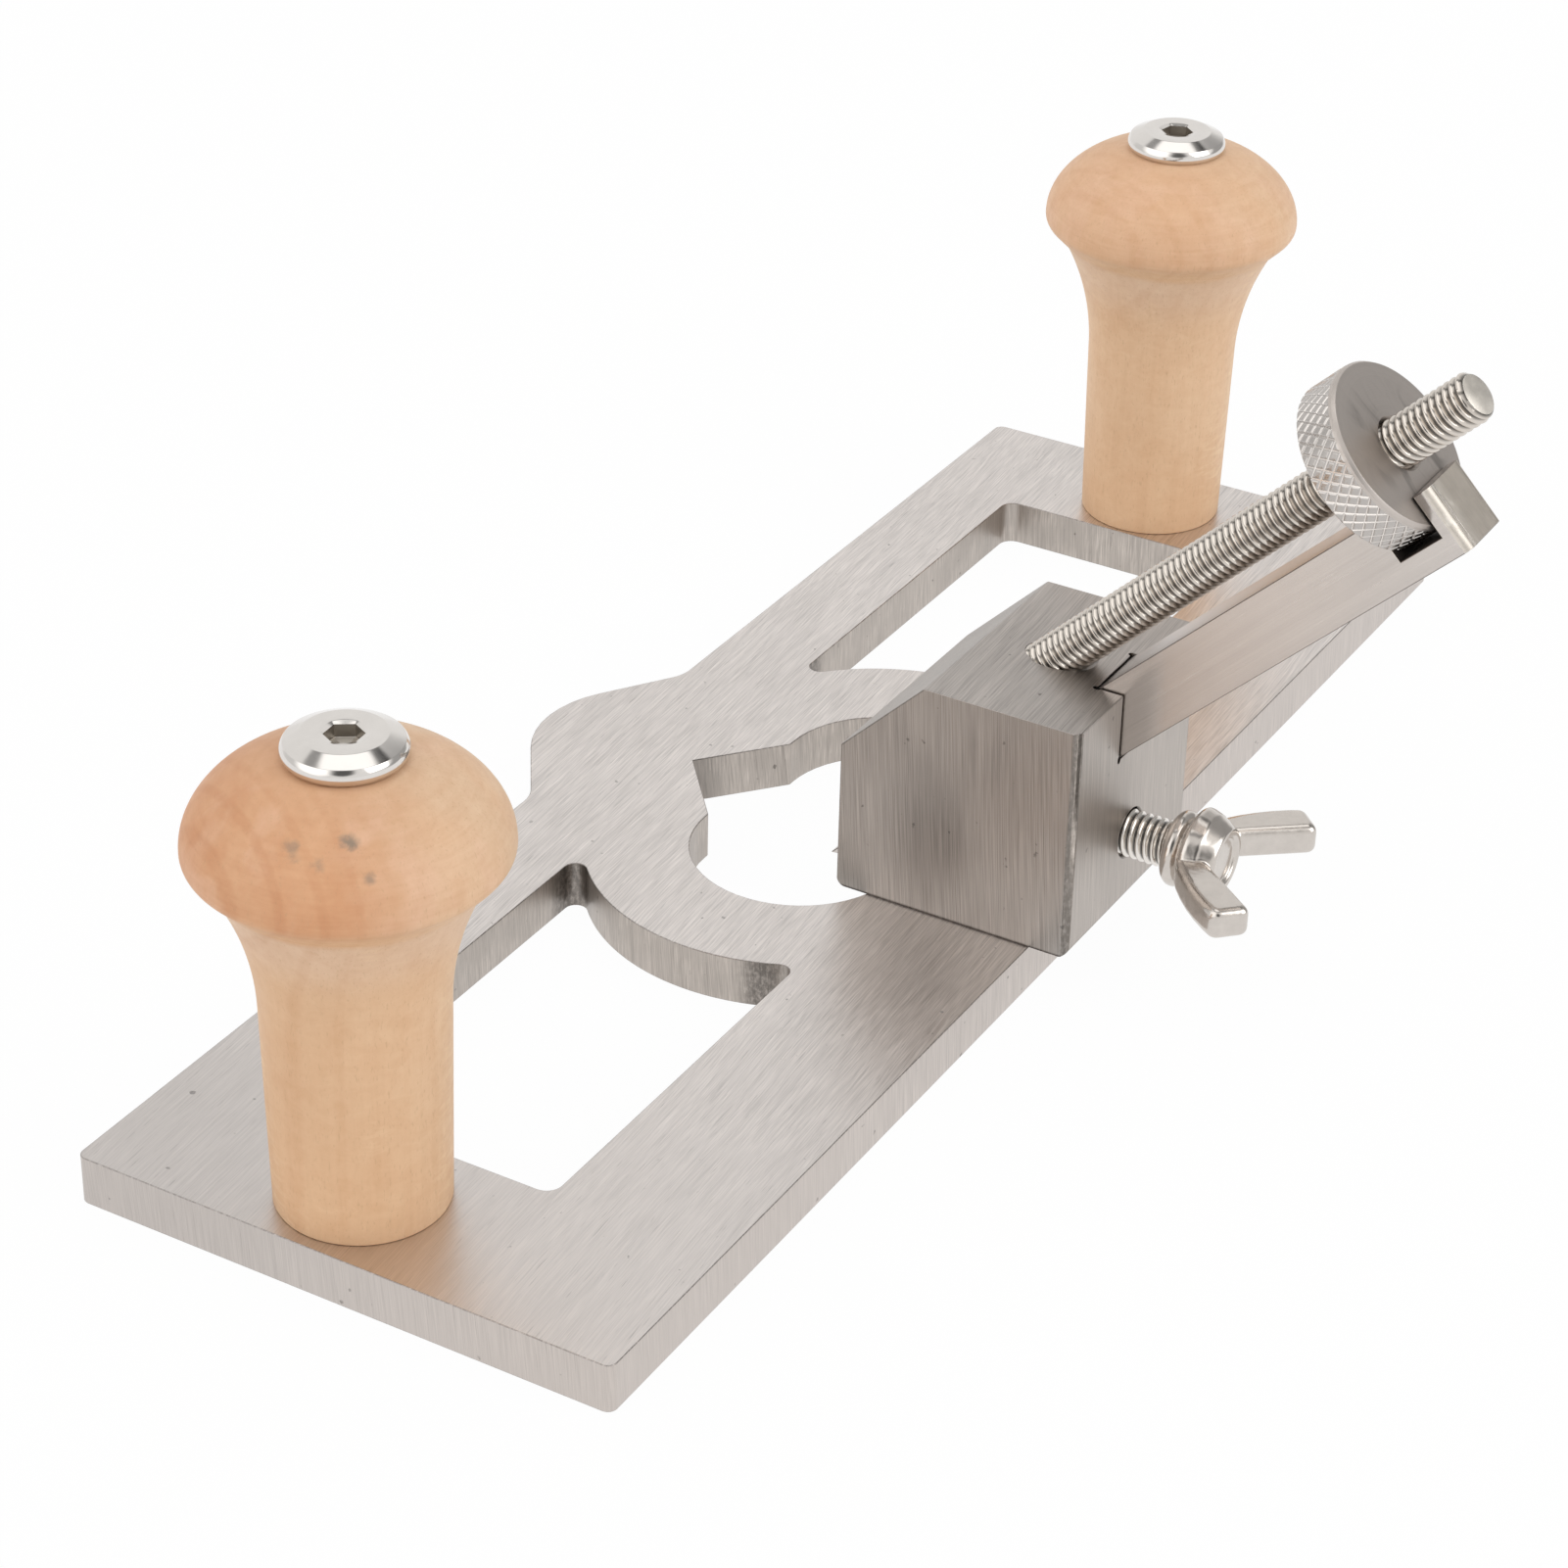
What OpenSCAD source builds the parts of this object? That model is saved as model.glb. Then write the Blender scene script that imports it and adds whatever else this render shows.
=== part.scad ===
// Hand router plane: a steel sole plate with two turned wooden handles and an
// inclined cutter bar that a knurled nut drives along a fixed screw.
// The frame is millimetres, X along the plate, +Y to the front, +Z up, sole at Z = 0.

/* [View] */
// which piece to show

/* [Sole plate] */
// length of the plate along X
plate_l = 275; // [265:1:300]
// width of the plate from rear edge to front edge
plate_w = 88; // [86:0.5:100]
// thickness of the plate
plate_t = 7.8; // [6:0.1:10]
// radius of the plate's four corners in plan
plate_corner_r = 1.5; // [0.5:0.5:5]
// half the width of the toe bump where it leaves the front edge
bump_half = 23.3; // [20:0.1:30]
// slant of the bump's sides to the front edge, in degrees
bump_angle = 33.5; // [28:0.5:36]
// radius of the bump's nose
nose_r = 19; // [12:0.5:24]
// radius of the hollow where the bump's sides meet the front edge
bump_fillet = 7; // [2:0.5:10]

/* [Mouth and windows] */
// radius of the mouth's two round ends
mouth_r = 17; // [14:0.5:17.5]
// distance of each round end's centre from the middle
mouth_offset = 14; // [12:0.5:18]
// distance of the sight notch's tip in front of the mouth's centre
notch_tip = 27.8; // [22:0.1:30]
// half the width of the sight notch where it opens into the mouth
notch_half = 13; // [10:0.5:14]
// width of the land between the mouth and each window
ring_w = 16.6; // [12:0.2:20]
// distance of each window's outer side from the plate's end
window_in = 27.3; // [27:0.1:40]
// distance of the windows' front side from the mouth's centre
window_front = 27.7; // [22:0.1:30]
// distance of the windows' rear side from the mouth's centre
window_rear = 17; // [12:0.5:22]
// radius of the windows' square corners
window_corner_r = 2.5; // [1:0.5:5]
// radius of the windows' narrow corners, beside the ring
window_narrow_r = 1.8; // [1:0.2:3]

/* [Blade block] */
// width of the block along X
block_w = 40.5; // [36:0.5:46]
// depth of the block along Y
block_d = 39.7; // [38:0.1:42]
// height of the block above the plate
block_h = 38.8; // [36:0.1:42]
// distance of the block's front face behind the mouth's centre
block_back = 10.6; // [9:0.1:12]
// size of the slope that takes off the block's front top edge
block_slope = 13.7; // [8:0.1:15]
// flat ground along the block's two rear upright edges
block_edge = 1; // [0.4:0.1:2]

/* [Cutter bar] */
// slope of the bar and of the screw to the sole, in degrees
bar_angle = 44.2; // [43:0.2:46]
// distance behind the mouth's centre where the bar's middle line meets the sole
bar_back = 5.9; // [4:0.1:7]
// width of the bar along X
bar_w = 11.5; // [10:0.1:12]
// height of the bar's section
bar_h = 10.5; // [9:0.1:11]
// gap between the bar and each wall of its channel
bar_gap = 0.25; // [0.15:0.05:0.4]
// length of the bar's middle line above the sole
bar_l = 127.3; // [122:0.1:150]
// height of the cutting edge above the sole when the bar is drawn up
edge_lift = 3; // [1:0.1:5]
// clearance angle ground under the cutting edge, in degrees
edge_relief = 5; // [2:0.5:8]
// distance of the nut's notch from the bar's upper end
notch_end = 2.7; // [2.4:0.1:4]
// depth of the nut's notch
notch_depth = 6.9; // [6.7:0.1:7.2]
// radius of the upright corners at the bar's upper end
bar_end_r = 1.4; // [0.5:0.1:2]

/* [Adjusting screw and nut] */
// diameter of the adjusting screw over its thread
screw_d = 7.6; // [7:0.1:8]
// distance of the screw's axis above the bar's middle line
screw_rise = 12; // [11.8:0.1:12.4]
// length of screw that stands out past the bar's upper end
screw_past = 11.7; // [8:0.1:20]
// diameter of the knurled nut
nut_d = 26.4; // [25.4:0.1:26.8]
// thickness of the knurled nut
nut_t = 7.3; // [6:0.1:8]
// end play of the nut in its notch, at each face
nut_play = 0.25; // [0.15:0.05:0.4]

/* [Clamp screw] */
// height of the clamp screw's axis above the sole
clamp_z = 19.7; // [19:0.1:22]
// diameter of the clamp screw over its thread
clamp_d = 7.6; // [7:0.1:8]
// length of thread seen between the block and the wing head's collar
clamp_out = 7.3; // [6:0.1:9]
// diameter of the wing head's round collar
collar_d = 12; // [11:0.1:13]
// diameter of the wing head's hub where it is widest
hub_d = 14.6; // [14:0.1:16]
// diameter of the wing head's hub at its outer end
hub_end_d = 10.8; // [10:0.1:12]
// length of the wing head along its axis, without the wings
head_l = 9; // [8:0.1:12]
// reach of each wing's tip from the axis
wing_reach = 17.4; // [16:0.1:20]
// distance of the wings' tips past the collar's inner face
wing_out = 18.3; // [16:0.1:20]
// width of a wing across its tip
wing_w = 6.2; // [5:0.1:7]
// thickness of a wing
wing_t = 4.4; // [3.5:0.1:5]

/* [Handles] */
// distance of each handle's axis from the plate's end
handle_in = 14.2; // [13:0.1:14.6]
// height of a handle
handle_h = 69.3; // [64:0.1:76]
// radius of a handle at its foot
foot_r = 12.4; // [11:0.1:12.6]
// radius of a handle's stem where it starts to flare
stem_r = 13; // [12:0.1:14]
// height above the plate where the stem starts to flare
flare_h = 31; // [20:1:36]
// radius of a handle where the neck meets the head
neck_r = 17.9; // [16:0.1:19]
// widest radius of a handle's head
head_r = 22.1; // [20:0.1:24]
// diameter of the flat bolt head on a handle
disc_d = 17; // [15:0.1:19]
// thickness of the flat bolt head
disc_t = 3; // [2.8:0.1:4]
// diameter of the flat on top of the bolt head
disc_flat = 10.4; // [9:0.1:13]
// key size of the bolt heads' hexagon socket
socket_af = 5; // [4:0.5:6]

/* [Hidden] */
// how much a cutting body runs past the face it cuts
past = 1;
// segments of an outline's corner arc and of a long arc
corner_n = 8;
arc_n = 36;

// toe bump: where its straight sides would meet, and the nose's real front
bump_peak = plate_w / 2 + bump_half * tan(bump_angle);
bump_front = bump_peak - nose_r * (1 / cos(bump_angle) - 1);

// outer side of each window in X
window_x = plate_l / 2 - window_in;

// block faces in Y and Z
block_front_y = -block_back;
block_rear_y = -block_back - block_d;
block_top = plate_t + block_h;
block_foot_r = 1.5;

// channel that the bar runs in, with a small round relief in each corner
channel_w = bar_w + 2 * bar_gap;
channel_h = bar_h + 2 * bar_gap;
channel_relief_r = 0.5;

// screw: radial clearance in its nut and seat, where its foot lies in the block, and the
// widened mouth of its seat
screw_gap = 0.05;
screw_foot = 36;
screw_chamfer = 0.6;
screw_mouth_d = screw_d + 1;
screw_mouth_t = 2;
// where the screw's axis comes out of the block's top, along the bar's middle line
screw_top = (block_top - screw_rise * cos(bar_angle)) / sin(bar_angle);

// nut's notch and seat along the bar's middle line
notch_hi = bar_l - notch_end;
notch_lo = notch_hi - nut_t - 2 * nut_play;
nut_lo = notch_lo + nut_play;
nut_edge = 0.4;
nut_mouth = 0.5;

// the cutting edge lies where the bar's upper face reaches its height
edge_y = -bar_back + (bar_h / 2 - edge_lift * cos(bar_angle)) / sin(bar_angle);

// clamp screw: where the bar's lower face crosses its axis, and its cone point
bar_low_y = -bar_back - (clamp_z * cos(bar_angle) + bar_h / 2) / sin(bar_angle);
clamp_free = 0.35;
clamp_cone_r = 1.4;
clamp_tip_y = bar_low_y - clamp_free / sin(bar_angle) - clamp_cone_r / tan(bar_angle);
clamp_cone_l = clamp_d / 2 - clamp_cone_r;
collar_y = block_rear_y - clamp_out;
clamp_seat = 5;
clamp_mouth = 0.4;

// wing head along its axis: round collar, widest ring of the hub, and the sunk end
collar_t = 2.8;
hub_at = 4;
hub_flat = 0.8;
hub_rim = 0.4;
end_wall = 1.6;
end_sunk = 0.8;

// one wing: corners of its tip, start of its outer edge, and how far that edge bows out
wing_lean = 45;
wing_tip = [wing_reach, wing_out - wing_w * sin(wing_lean)];
wing_inner = [wing_reach - wing_w * cos(wing_lean), wing_out];
wing_root = [hub_d / 2 - 0.9, collar_t + 0.2];
wing_bow = 0.8;
wing_chord = norm(wing_tip - wing_root);
wing_bow_r = (pow(wing_chord / 2, 2) + pow(wing_bow, 2)) / (2 * wing_bow);
wing_tip_r = 0.9;

// handles: heights above the plate, the half ellipse of the dome, the slanted underside and
// the rounding between them
handle_x = plate_l / 2 - handle_in;
handle_y = (window_front - window_rear) / 2;
dome_h = 13.85;
dome_cut = dome_h * sqrt(1 - pow(disc_d / 2 / head_r, 2));
girth_h = handle_h - dome_cut;
under_h = 7.3;
under_slant = 36;
neck_h = girth_h - under_h;
lip_h = neck_h + (head_r - neck_r) / tan(under_slant);
lip_r = 0.98 * (girth_h - lip_h) / tan(under_slant / 2);
flare_r = (pow(neck_r - stem_r, 2) + pow(neck_h - flare_h, 2)) / (2 * (neck_r - stem_r));

// handle bolts and block screws
bolt_d = 6;
bolt_hole_d = 6.6;
bolt_foot = 1;
disc_rim = 1.7;
disc_edge = 0.35;
socket_deep = 2.2;
tap_gap = 0.05;
sink_screw_d = 5;
sink_head_d = 9.4;
sink_below = 0.4;
sink_socket_af = 3;
sink_socket_deep = 1.8;
sink_screw_in = 6.75;
sink_screw_row = 14.4;
sink_screw_pitch = 12;
sink_grip = 11;
sink_screw_top = plate_t + sink_grip;

// the origin is under the middle of the whole tool
rear_end = -bar_back - bar_l * cos(bar_angle) - bar_h / 2 * sin(bar_angle);
centre_y = (bump_front + rear_end) / 2;

// points of an arc about o from angle a0 to a1
function arc(o, r, a0, a1, n) =
    [for (i = [0 : n]) o + r * [cos(a0 + (a1 - a0) * i / n), sin(a0 + (a1 - a0) * i / n)]];

// turn from angle a to angle b by the shorter way
function turn(a, b) = let (d = b - a) d > 180 ? d - 360 : d < -180 ? d + 360 : d;

// arc that rounds the corner b between its neighbours a and c
function corner(a, b, c, r) =
    r == 0 ? [b] :
    let (u = (a - b) / norm(a - b),
         v = (c - b) / norm(c - b),
         half = acos(u * v) / 2,
         o = b + (u + v) / norm(u + v) * r / sin(half),
         p = b + u * r / tan(half) - o,
         q = b + v * r / tan(half) - o,
         a0 = atan2(p[1], p[0]))
    arc(o, r, a0, a0 + turn(a0, atan2(q[1], q[0])), corner_n);

// outline with each corner rounded by its own radius
function rounded(pts, radii) =
    let (n = len(pts))
    [for (i = [0 : n - 1]) each corner(pts[(i + n - 1) % n], pts[i], pts[(i + 1) % n], radii[i])];

// moves a piece from the mouth's centre to the tool's origin
module seat() {
    translate([0, -centre_y, 0]) children();
}

// bar's own frame: X stays, Y is square to the bar's upper face, Z runs up its middle line
module on_bar() {
    translate([0, -bar_back, 0]) rotate([90 - bar_angle, 0, 0]) children();
}

// clamp screw's own frame: Z runs out of the block's rear face
module on_clamp() {
    translate([0, 0, clamp_z]) rotate([90, 0, 0]) children();
}

// solid of width w along X with its outline drawn in Y and Z
module across(w) {
    rotate([90, 0, 90]) linear_extrude(w, center = true) children();
}

module plate_outline() {
    x = plate_l / 2;
    y = plate_w / 2;
    polygon(rounded(
        [[-x, -y], [x, -y], [x, y], [bump_half, y], [0, bump_peak], [-bump_half, y], [-x, y]],
        [plate_corner_r, plate_corner_r, plate_corner_r, bump_fillet, nose_r, bump_fillet,
         plate_corner_r]));
}

module mouth_outline() {
    for (side = [-1, 1])
        translate([side * mouth_offset, 0]) circle(r = mouth_r, $fn = 96);
    square([2 * mouth_offset, 2 * mouth_r], center = true);
    polygon([[-notch_half, mouth_r - past], [notch_half, mouth_r - past],
             [notch_half, mouth_r], [0, notch_tip], [-notch_half, mouth_r]]);
}

// left window: square outer corners, and an arc that keeps the ring an even width
module window_outline() {
    c = window_corner_r;
    k = window_narrow_r;
    ring_r = mouth_r + ring_w;
    o = [-mouth_offset, 0];
    rear_c = [-mouth_offset - sqrt(pow(ring_r + k, 2) - pow(window_rear - k, 2)), k - window_rear];
    front_c = [-mouth_offset - sqrt(pow(ring_r + k, 2) - pow(window_front - k, 2)), window_front - k];
    rear_a = atan2(-rear_c[1], o[0] - rear_c[0]);
    front_a = atan2(-front_c[1], o[0] - front_c[0]);
    polygon(concat(
        arc([c - window_x, c - window_rear], c, 180, 270, corner_n),
        arc(rear_c, k, -90, rear_a, corner_n),
        arc(o, ring_r, rear_a + 180, front_a + 180, arc_n),
        arc(front_c, k, front_a, 90, corner_n),
        arc([c - window_x, window_front - c], c, 90, 180, corner_n)));
}

// space that the bar runs in, long enough to cross the block and the plate
module channel() {
    reach = bar_l;
    on_bar() {
        cube([channel_w, channel_h, 2 * reach], center = true);
        for (x = [-1, 1], y = [-1, 1])
            translate([x * channel_w / 2, y * channel_h / 2, -reach])
                cylinder(r = channel_relief_r, h = 2 * reach, $fn = 16);
    }
}

module at_block_screws() {
    for (side = [-1, 1], i = [0, 1])
        translate([side * (block_w / 2 - sink_screw_in),
                   block_front_y - sink_screw_row - i * sink_screw_pitch, 0]) children();
}

// side is -1 for the left handle and 1 for the right one
module at_handle(side) {
    translate([side * handle_x, handle_y, 0]) children();
}

module sole_plate() {
    color("Silver") seat() difference() {
        linear_extrude(plate_t) difference() {
            plate_outline();
            mouth_outline();
            window_outline();
            mirror([1, 0, 0]) window_outline();
        }
        // the channel goes on through the plate behind the mouth
        intersection() {
            channel();
            translate([-mouth_r, -plate_w / 2, -past])
                cube([2 * mouth_r, plate_w / 2, plate_t + 2 * past]);
        }
        for (side = [-1, 1])
            at_handle(side) translate([0, 0, -past])
                cylinder(d = bolt_d + 2 * tap_gap, h = plate_t + 2 * past, $fn = 48);
        at_block_screws() sink_screw_body(tap_gap, sink_below + past);
    }
}

module blade_block() {
    color("DarkGray") seat() difference() {
        intersection() {
            across(block_w) polygon(rounded(
                [[block_front_y, plate_t], [block_front_y, block_top - block_slope],
                 [block_front_y - block_slope, block_top], [block_rear_y, block_top],
                 [block_rear_y, plate_t]],
                [block_foot_r, 0, 0, 0, block_foot_r]));
            translate([0, 0, plate_t - past]) linear_extrude(block_h + 2 * past) polygon(
                [[-block_w / 2, block_front_y + past], [-block_w / 2, block_rear_y + block_edge],
                 [block_edge - block_w / 2, block_rear_y], [block_w / 2 - block_edge, block_rear_y],
                 [block_w / 2, block_rear_y + block_edge], [block_w / 2, block_front_y + past]]);
        }
        channel();
        // threaded seats of the adjusting screw and of the clamp screw
        on_bar() translate([0, screw_rise, screw_foot])
            cylinder(d = screw_d + 2 * screw_gap, h = bar_l, $fn = 64);
        on_bar() translate([0, screw_rise, screw_top - screw_mouth_t])
            cylinder(d = screw_mouth_d, h = bar_l, $fn = 64);
        on_clamp() {
            translate([0, 0, bar_back + clamp_z / tan(bar_angle)])
                cylinder(d = clamp_d + 2 * screw_gap, h = block_d + block_back, $fn = 64);
            translate([0, 0, -block_rear_y - clamp_mouth])
                cylinder(d1 = clamp_d, d2 = clamp_d + 4 * clamp_mouth, h = 2 * clamp_mouth, $fn = 64);
        }
        at_block_screws() cylinder(d = sink_screw_d + 2 * tap_gap, h = sink_screw_top + past, $fn = 32);
    }
}

// countersunk screw from below, its body grown by gap and its head run down by extra
module sink_screw_body(gap, extra) {
    head_r = sink_head_d / 2 + gap;
    shank_r = sink_screw_d / 2 + gap;
    cone = head_r - shank_r;
    rotate_extrude($fn = 48) polygon(
        [[0, sink_below - extra], [head_r, sink_below - extra], [head_r, sink_below],
         [shank_r, sink_below + cone], [shank_r, sink_screw_top], [0, sink_screw_top]]);
}

module block_screws() {
    color("DimGray") seat() at_block_screws() difference() {
        sink_screw_body(0, 0);
        translate([0, 0, sink_below - past])
            cylinder(d = sink_socket_af / cos(30), h = sink_socket_deep + past, $fn = 6);
    }
}

// half section of a handle, from its foot up to the flat under the bolt head
function handle_section() =
    concat(
        [[bolt_hole_d / 2, 0], [foot_r, 0]],
        arc([stem_r + flare_r, flare_h], flare_r, 180,
            180 - asin((neck_h - flare_h) / flare_r), 12),
        corner([neck_r, neck_h], [head_r, lip_h], [head_r, girth_h], lip_r),
        [for (i = [0 : 24])
            let (a = i / 24 * asin(dome_cut / dome_h))
            [head_r * cos(a), girth_h + dome_h * sin(a)]],
        [[bolt_hole_d / 2, handle_h]]);

module handle(side) {
    color("BurlyWood") seat() at_handle(side) translate([0, 0, plate_t])
        rotate_extrude($fn = 96) polygon(handle_section());
}

module handle_bolt(side) {
    r = disc_d / 2;
    base = plate_t + handle_h;
    color("Gainsboro") seat() at_handle(side) difference() {
        union() {
            translate([0, 0, base]) rotate_extrude($fn = 96) polygon(concat(
                [[0, -past], [bolt_d / 2, -past], [bolt_d / 2, 0]],
                arc([r - disc_rim / 2, disc_rim / 2], disc_rim / 2, -90, 40, corner_n),
                [[r - disc_edge, disc_rim], [disc_flat / 2, disc_t], [0, disc_t]]));
            translate([0, 0, bolt_foot]) cylinder(d = bolt_d, h = base - bolt_foot, $fn = 48);
        }
        translate([0, 0, base + disc_t - socket_deep])
            cylinder(d = socket_af / cos(30), h = socket_deep + past, $fn = 6);
    }
}

module blade_bar() {
    color("LightGray") seat() difference() {
        intersection() {
            on_bar() translate([0, bar_h / 2, 0]) rotate([90, 0, 0]) linear_extrude(bar_h)
                polygon(rounded(
                    [[-bar_w / 2, -bar_h], [bar_w / 2, -bar_h], [bar_w / 2, bar_l], [-bar_w / 2, bar_l]],
                    [0, 0, bar_end_r, bar_end_r]));
            // the lower end is ground nearly parallel to the sole, which leaves the cutting edge
            translate([0, edge_y, edge_lift]) rotate([-edge_relief, 0, 0])
                translate([-bar_w, -2 * bar_l, 0]) cube([2 * bar_w, 3 * bar_l, 2 * bar_l]);
        }
        on_bar() translate([-bar_w, bar_h / 2 - notch_depth, notch_lo])
            cube([2 * bar_w, bar_h, notch_hi - notch_lo]);
    }
}

module adjusting_screw() {
    end = bar_l + screw_past;
    r = screw_d / 2;
    color("Gainsboro") seat() on_bar() translate([0, screw_rise, 0]) rotate_extrude($fn = 64)
        polygon([[0, screw_foot], [r - screw_chamfer, screw_foot], [r, screw_foot + screw_chamfer],
                 [r, end - screw_chamfer], [r - screw_chamfer, end], [0, end]]);
}

module knurled_nut() {
    r = nut_d / 2;
    bore = screw_d / 2 + screw_gap;
    color("Silver") seat() on_bar() translate([0, screw_rise, nut_lo]) rotate_extrude($fn = 120)
        polygon([[bore, nut_mouth], [bore + nut_mouth, 0], [r - nut_edge, 0], [r, nut_edge],
                 [r, nut_t - nut_edge], [r - nut_edge, nut_t], [bore + nut_mouth, nut_t],
                 [bore, nut_t - nut_mouth]]);
}

module clamp_stud() {
    r = clamp_d / 2;
    tip = -clamp_tip_y;
    end = -collar_y + clamp_seat;
    color("Gainsboro") seat() on_clamp() rotate_extrude($fn = 64)
        polygon([[0, tip], [clamp_cone_r, tip], [r, tip + clamp_cone_l], [r, end], [0, end]]);
}

// one wing in the frame of the clamp screw, flat in X and Z, with a bowed outer edge
module wing() {
    mid = (wing_tip + wing_root) / 2;
    along = (wing_tip - wing_root) / wing_chord;
    o = mid + (wing_bow_r - wing_bow) * [-along[1], along[0]];
    a0 = atan2(wing_root[1] - o[1], wing_root[0] - o[0]);
    a1 = atan2(wing_tip[1] - o[1], wing_tip[0] - o[0]);
    hub_r = hub_end_d / 2;
    rotate([90, 0, 0]) linear_extrude(wing_t, center = true) polygon(concat(
        [[0, wing_root[1]]],
        arc(o, wing_bow_r, a0, a1 - (a1 - a0) * wing_tip_r / wing_chord, corner_n),
        corner(wing_root, wing_tip, wing_inner, wing_tip_r),
        corner(wing_tip, wing_inner, [hub_r, head_l], wing_tip_r),
        [[hub_r, head_l - hub_rim], [0, head_l - hub_rim]]));
}

module wing_head() {
    r = collar_d / 2;
    bead = collar_t / 2;
    hub_r = hub_d / 2;
    end_r = hub_end_d / 2;
    color("Gainsboro") seat() translate([0, collar_y, clamp_z]) rotate([90, 0, 0]) difference() {
        union() {
            rotate_extrude($fn = 96) polygon(concat(
                [[0, 0]],
                arc([r - bead, bead], bead, -90, 60, corner_n),
                [[hub_r - hub_rim, hub_at - hub_rim], [hub_r, hub_at],
                 [hub_r - hub_rim, hub_at + hub_flat], [end_r, head_l - hub_rim],
                 [end_r - hub_rim, head_l], [0, head_l]]));
            for (side = [0, 180]) rotate([0, 0, side]) wing();
        }
        translate([0, 0, -past])
            cylinder(d = clamp_d + 2 * screw_gap, h = clamp_seat + 2 * screw_gap + past, $fn = 64);
        translate([0, 0, head_l - end_sunk])
            cylinder(d = hub_end_d - 2 * end_wall, h = end_sunk + past, $fn = 48);
    }
}

sole_plate();
blade_block();
block_screws();
handle(-1);  // left_handle
handle(1);  // right_handle
handle_bolt(-1);  // left_handle_bolt
handle_bolt(1);  // right_handle_bolt
blade_bar();
adjusting_screw();
knurled_nut();
clamp_stud();
wing_head();
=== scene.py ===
import math

import bmesh
import bpy
import numpy as np
from mathutils import Matrix, Vector


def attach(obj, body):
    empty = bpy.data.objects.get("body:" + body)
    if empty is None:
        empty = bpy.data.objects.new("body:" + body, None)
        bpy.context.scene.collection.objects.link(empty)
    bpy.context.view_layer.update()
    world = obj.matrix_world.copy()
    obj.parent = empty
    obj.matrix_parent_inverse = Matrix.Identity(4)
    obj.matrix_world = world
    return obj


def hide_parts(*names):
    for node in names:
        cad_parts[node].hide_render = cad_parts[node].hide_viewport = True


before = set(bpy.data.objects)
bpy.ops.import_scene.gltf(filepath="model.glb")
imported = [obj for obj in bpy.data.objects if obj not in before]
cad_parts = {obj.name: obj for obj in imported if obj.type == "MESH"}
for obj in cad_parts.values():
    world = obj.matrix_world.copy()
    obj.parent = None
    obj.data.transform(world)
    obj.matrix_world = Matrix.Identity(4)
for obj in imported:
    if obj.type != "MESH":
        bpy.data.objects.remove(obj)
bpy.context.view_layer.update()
MM = 0.001

# points nearer than this are joined, in metres: in finished meshes, and in copies of the CAD's
join_gap, cad_join_gap = 2e-6, 3e-6

# sizes of the part's source, in millimetres and degrees
plate_l, plate_w, plate_t = 275.0, 88.0, 7.8
bump_half, bump_angle, nose_r = 23.3, 33.5, 19.0
window_front, window_rear = 27.7, 17.0
block_back, block_d = 10.6, 39.7
bar_angle, bar_back, bar_h, bar_l = 44.2, 5.9, 10.5, 127.3
notch_end, nut_play = 2.7, 0.25
screw_d, screw_rise, screw_past, screw_foot = 7.6, 12.0, 11.7, 36.0
nut_d, nut_t = 26.4, 7.3
clamp_z, clamp_d, clamp_out, clamp_seat = 19.7, 7.6, 7.3, 5.0
clamp_free, clamp_cone_r = 0.35, 1.4
collar_d, collar_t, hub_d, hub_end_d, head_l = 12.0, 2.8, 14.6, 10.8, 9.0
wing_reach, wing_out, wing_w, wing_t, wing_lean = 17.4, 18.3, 6.2, 4.4, 45.0
handle_in, handle_h, foot_r, stem_r, flare_h = 14.2, 69.3, 12.4, 13.0, 31.0
dome_h = 13.85
bolt_d, bolt_hole_d, bolt_foot = 6.0, 6.6, 1.0
socket_deep = 2.2

# sizes that the drawn pieces have otherwise than the source, or alone
neck_r, head_r, under_h, under_slant = 18.5, 22.0, 4.4, 45.0
socket_af = 4.8
pitch, thread_deep = 1.25, 0.66
disc_d, disc_flat, disc_bevel, disc_slope = 17.0, 11.6, 16.0, 25.0
rim_low, rim_bow, lip_slope, head_sunk = 1.3, 2.0, 58.0, 0.35
knurl_from, knurl_to, knurl_deep, knurl_lean = 0.3, 6.2, 0.24, 38.0
left_turn, right_turn = 34.0, 20.0
wing_over, wing_bow, wing_round, left_longer = 0.35, 1.0, 1.4, 0.9

# marks on the steel and the wood: how far the drawn grain leans, the painted dark reflection on the block's
# ends (Y, Z), half the sizes of the field that holds the plate's openings, the dark nooks in them (X, Y), the
# heights in metres between which a handle's head begins, and the left one's dirty spots (place, size and
# strength)
grain_lean = 4.0
end_reflection_patch = -26.1, 22.0
openings = 111.0, 23.0
nooks = (38.2, 27.0), (46.2, -12.6)
head_from = 0.0511, 0.0528
left_marks = (((-135.9, 18.2, 73.9), 1.7, 0.80), ((-140.1, 24.3, 73.0), 1.8, 0.50),
              ((-140.0, 20.1, 72.0), 1.3, 0.42), ((-137.4, 14.3, 70.7), 1.2, 0.55))


def deg(f, a):
    return f(math.radians(a))


bump_peak = plate_w / 2 + bump_half * deg(math.tan, bump_angle)
bump_front = bump_peak - nose_r * (1 / deg(math.cos, bump_angle) - 1)
rear_end = -bar_back - bar_l * deg(math.cos, bar_angle) - bar_h / 2 * deg(math.sin, bar_angle)
centre_y = (bump_front + rear_end) / 2
handle_x = plate_l / 2 - handle_in
handle_y = (window_front - window_rear) / 2
nut_lo = bar_l - notch_end - nut_t - nut_play
bar_low_y = -bar_back - (clamp_z * deg(math.cos, bar_angle) + bar_h / 2) / deg(math.sin, bar_angle)
clamp_tip = -(bar_low_y - clamp_free / deg(math.sin, bar_angle) - clamp_cone_r / deg(math.tan, bar_angle))
collar_out = block_back + block_d + clamp_out


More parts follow.
